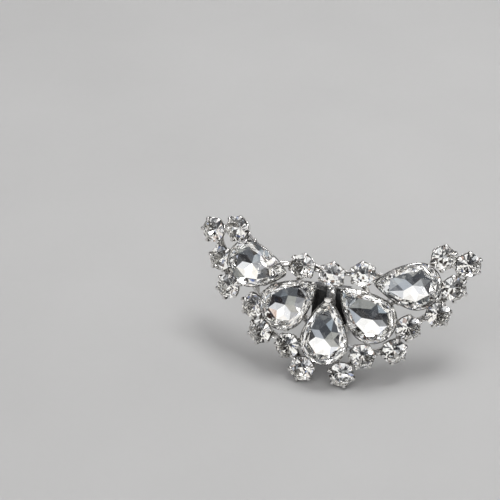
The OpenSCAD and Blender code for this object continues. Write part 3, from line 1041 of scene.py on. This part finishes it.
# The tent's brightness by elevation
TENT = [
    (-90, (0.13, 0.14, 0.15)), (-30, (0.11, 0.12, 0.135)), (-20, (0.065, 0.07, 0.08)),
    (-14, (0.022, 0.022, 0.025)), (6, (0.018, 0.018, 0.022)), (14, (0.085, 0.09, 0.1)),
    (19, (0.35, 0.36, 0.38)), (22.5, (0.86, 0.88, 0.92)), (32, (0.94, 0.95, 0.98)), (36, (1.25, 1.25, 1.25)),
    (42, (1.25, 1.24, 1.22)), (46, (1.0, 0.98, 0.95)), (60, (1.08, 1.07, 1.05)), (72, (1.4, 1.4, 1.4)),
    (90, (1.45, 1.45, 1.45)),
]
# Dark seams between the tent's strips: azimuth and half width
SEAMS = [
    (-170, 5), (-150, 6), (-130, 7), (-108, 8), (-84, 7), (-60, 4), (-34.5, 3), (-7, 2.3), (13.5, 2.5),
    (44.5, 6.5), (84, 6), (107, 8), (127, 6), (166, 6),
]
SEAM_COLOUR = (0.022, 0.015, 0.013)
# Over how much of an angle a seam's edge is soft to each side, and between which elevations it fades in
SEAM_SOFT = 0.7
SEAM_FADE = 16, 22
# Glass splits light at a seam's edges: a warm fringe on one, a blue one on the other, this wide
FRINGE = 1.6
WARM_FRINGE, BLUE_FRINGE = (1.1, 0.62, 0.42), (0.25, 0.5, 1.4)
# Round panels in the tent: azimuth, elevation, inner and outer half angle, colour
PANELS = [
    (-66, 12, 12, 17, (0.5, 0.49, 0.46)),
    (-42, 12, 5, 8, (0.5, 0.5, 0.48)),
    (-66, 24, 6, 8, (1.1, 1.06, 1.0)),
    (-74, -6, 12, 15, (0.38, 0.39, 0.42)),
    (-45, -14, 11, 14, (0.42, 0.43, 0.41)),
    (-20, -34, 7, 9, (0.36, 0.42, 0.48)),
    (-68, -32, 9, 12, (0.32, 0.37, 0.42)),
    (54, 20, 13, 15, (1.1, 1.1, 1.1)),
    (26, 20, 8, 10, (1.1, 1.1, 1.1)),
    (0, 5, 4, 6, (0.5, 0.52, 0.54)),
    (20, -6, 6, 8, (0.42, 0.45, 0.5)),
    (62, 0, 10, 13, (0.44, 0.48, 0.54)),
    (70, -16, 11, 14, (0.5, 0.54, 0.58)),
    (34, -42, 16, 19, (0.36, 0.37, 0.36)),
]


def towards(azimuth, elevation):
    """The unit vector in a direction in degrees."""
    azimuth, elevation = radians(azimuth), radians(elevation)
    return sin(azimuth) * cos(elevation), -cos(azimuth) * cos(elevation), sin(elevation)


def make_tent():
    world = bpy.data.worlds.new("studio")
    scene.world = world
    world.use_nodes = True
    tent = Nodes(world.node_tree)
    direction = tent.new("TexCoord").outputs["Generated"]
    split = tent.new("SeparateXYZ")
    tent.put(direction, split.inputs[0])
    up = split.outputs["Z"]
    stops = [(0.5 + 0.5 * sin(radians(elevation)), colour) for elevation, colour in TENT]
    colour = tent.ramp(tent.maths("MULTIPLY_ADD", up, 0.5, 0.5), stops)
    above = tent.spread(up, *(sin(radians(angle)) for angle in SEAM_FADE), kind="SMOOTHSTEP")
    for azimuth, half in SEAMS:
        azimuth = radians(azimuth)
        aside = tent.dot(direction, (cos(azimuth), sin(azimuth), 0))
        ahead = tent.dot(direction, (sin(azimuth), -cos(azimuth), 0))
        angle = tent.maths("ARCTAN2", aside, ahead)
        inner, outer = radians(half - SEAM_SOFT), radians(half + SEAM_SOFT)
        inside = tent.spread(tent.maths("ABSOLUTE", angle), outer, inner, kind="SMOOTHSTEP")
        fringe = FRINGE / (2 * half)
        stops = [(0, WARM_FRINGE), (fringe, SEAM_COLOUR), (1 - fringe, SEAM_COLOUR), (1, BLUE_FRINGE)]
        seam = tent.ramp(tent.spread(angle, -outer, outer), stops)
        colour = tent.mix(colour, seam, tent.maths("MULTIPLY", inside, above))
    for azimuth, elevation, inner, outer, panel in PANELS:
        near = tent.dot(direction, towards(azimuth, elevation))
        inside = tent.spread(near, cos(radians(outer)), cos(radians(inner)), kind="SMOOTHSTEP")
        colour = tent.mix(colour, (*panel, 1), inside)
    tent.put(colour, tent.nodes["Background"].inputs["Color"])


make_tent()


# Lights and camera

# What the lights point at
LIT = (0, 0, 15)
# Light is followed through this many reflections inside the stones
BOUNCES = 20
# The camera: what it looks at, how far away it is, its azimuth, elevation and roll, its lens
AIM = Vector((-18.48, 2.61, 23.48))
CAMERA_DISTANCE = 258.1
CAMERA_AZIMUTH = 13.87
CAMERA_ELEVATION = 37.18
CAMERA_ROLL = -0.7
LENS = 86.4
SENSOR = 36


def softbox(name, at, side, watts):
    """A square light at a place."""
    light = bpy.data.lights.new(name, "AREA")
    light.shape = "RECTANGLE"
    light.size = light.size_y = side * MM
    light.energy = watts
    lamp = bpy.data.objects.new(name, light)
    lamp.location = Vector(at) * MM
    lamp.rotation_euler = (Vector(LIT) * MM - lamp.location).to_track_quat("-Z", "Y").to_euler()
    scene.collection.objects.link(lamp)


def make_camera():
    data = bpy.data.cameras.new("camera")
    data.lens = LENS
    data.sensor_width = SENSOR
    data.clip_start = 10 * MM
    camera = bpy.data.objects.new("camera", data)
    back = Vector(towards(CAMERA_AZIMUTH, CAMERA_ELEVATION))
    camera.location = (AIM + back * CAMERA_DISTANCE) * MM
    facing = (-back).to_track_quat("-Z", "Y").to_matrix().to_4x4()
    roll = Matrix.Rotation(radians(CAMERA_ROLL), 4, "Z")
    camera.rotation_euler = (facing @ roll).to_euler()
    scene.collection.objects.link(camera)
    scene.camera = camera


softbox("overhead_light", (60, 120, 480), 180, 1.2)
softbox("front_light", (-250, -300, 260), 80, 0.12)
scene.view_settings.view_transform = "Standard"
for kind in ("max", "glossy", "transmission"):
    setattr(scene.cycles, kind + "_bounces", BOUNCES)
make_camera()
